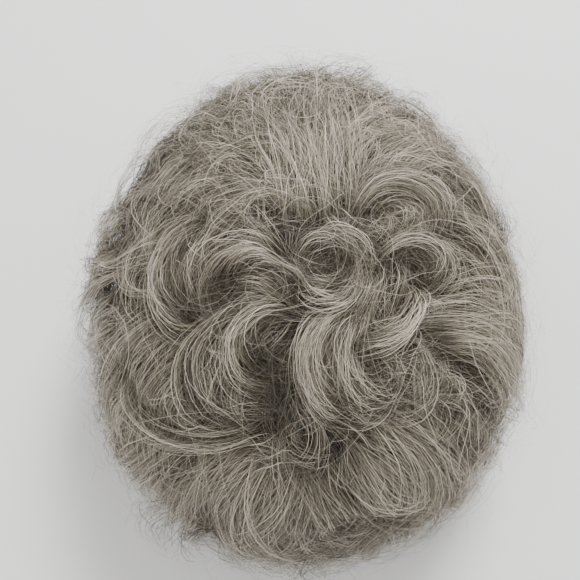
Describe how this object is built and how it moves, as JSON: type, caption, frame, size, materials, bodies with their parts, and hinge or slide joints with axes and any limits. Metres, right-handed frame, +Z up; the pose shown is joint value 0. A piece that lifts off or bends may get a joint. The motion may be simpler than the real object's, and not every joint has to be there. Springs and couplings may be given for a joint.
{
  "type": "short curly wig",
  "caption": "Short curly grey wig: a net cap, a bed of short hair in zones and separate curls over it, hollow and open below for the head, standing on its hair ends.",
  "frame": {"origin": "middle of the part's box, on the table it stands on", "axes": "+Z up, the face side looks along -Y, the wearer's left is +X"},
  "size_m": [0.2272, 0.2662, 0.1476],
  "materials": {
    "cap_net": "dark stretch net",
    "under_hair": "dark grey fibre",
    "curl_hair": "silky grey fibre, silver and dark strands mixed"
  },
  "bodies": {
    "root": {"cap": "cap_net", "hair_bed_crown": "under_hair", "hair_bed_left": "under_hair", "hair_bed_nape": "under_hair", "hair_bed_right": "under_hair", "hair_bed_front": "under_hair", "front_crown_ring": "curl_hair", "left_front_sweep": "curl_hair", "right_crown_sweep": "curl_hair", "crown_ring": "curl_hair", "left_crown_hook": "curl_hair", "left_crown_ring": "curl_hair", "left_front_ring": "curl_hair", "right_front_hook": "curl_hair", "right_front_wave": "curl_hair", "right_crown_wave": "curl_hair", "right_side_hook": "curl_hair", "right_long_wave": "curl_hair", "left_back_ring": "curl_hair", "back_fan_middle": "curl_hair", "back_fan_left": "curl_hair", "back_fan_right": "curl_hair", "right_back_wave": "curl_hair", "left_side_wave_high": "curl_hair", "left_side_wave_low": "curl_hair", "left_back_wave": "curl_hair", "fringe_middle": "curl_hair", "fringe_left": "curl_hair", "fringe_right": "curl_hair", "fringe_left_wave": "curl_hair", "fringe_right_wave": "curl_hair", "right_side_fall": "curl_hair", "left_upper_curl_1": "curl_hair", "left_upper_curl_2": "curl_hair", "left_upper_curl_3": "curl_hair", "left_upper_curl_4": "curl_hair", "nape_upper_curl_1": "curl_hair", "nape_upper_curl_2": "curl_hair", "nape_upper_curl_3": "curl_hair", "nape_upper_curl_4": "curl_hair", "right_upper_curl_1": "curl_hair", "right_upper_curl_2": "curl_hair", "right_upper_curl_3": "curl_hair", "right_upper_curl_4": "curl_hair", "left_lower_curl_1": "curl_hair", "left_lower_curl_2": "curl_hair", "left_lower_curl_3": "curl_hair", "left_lower_curl_4": "curl_hair", "nape_lower_curl_1": "curl_hair", "nape_lower_curl_2": "curl_hair", "nape_lower_curl_3": "curl_hair", "nape_lower_curl_4": "curl_hair", "right_lower_curl_1": "curl_hair", "right_lower_curl_2": "curl_hair", "right_lower_curl_3": "curl_hair", "right_lower_curl_4": "curl_hair", "fringe_tip_1": "curl_hair", "fringe_tip_2": "curl_hair", "fringe_tip_3": "curl_hair"}
  },
  "joints": []
}
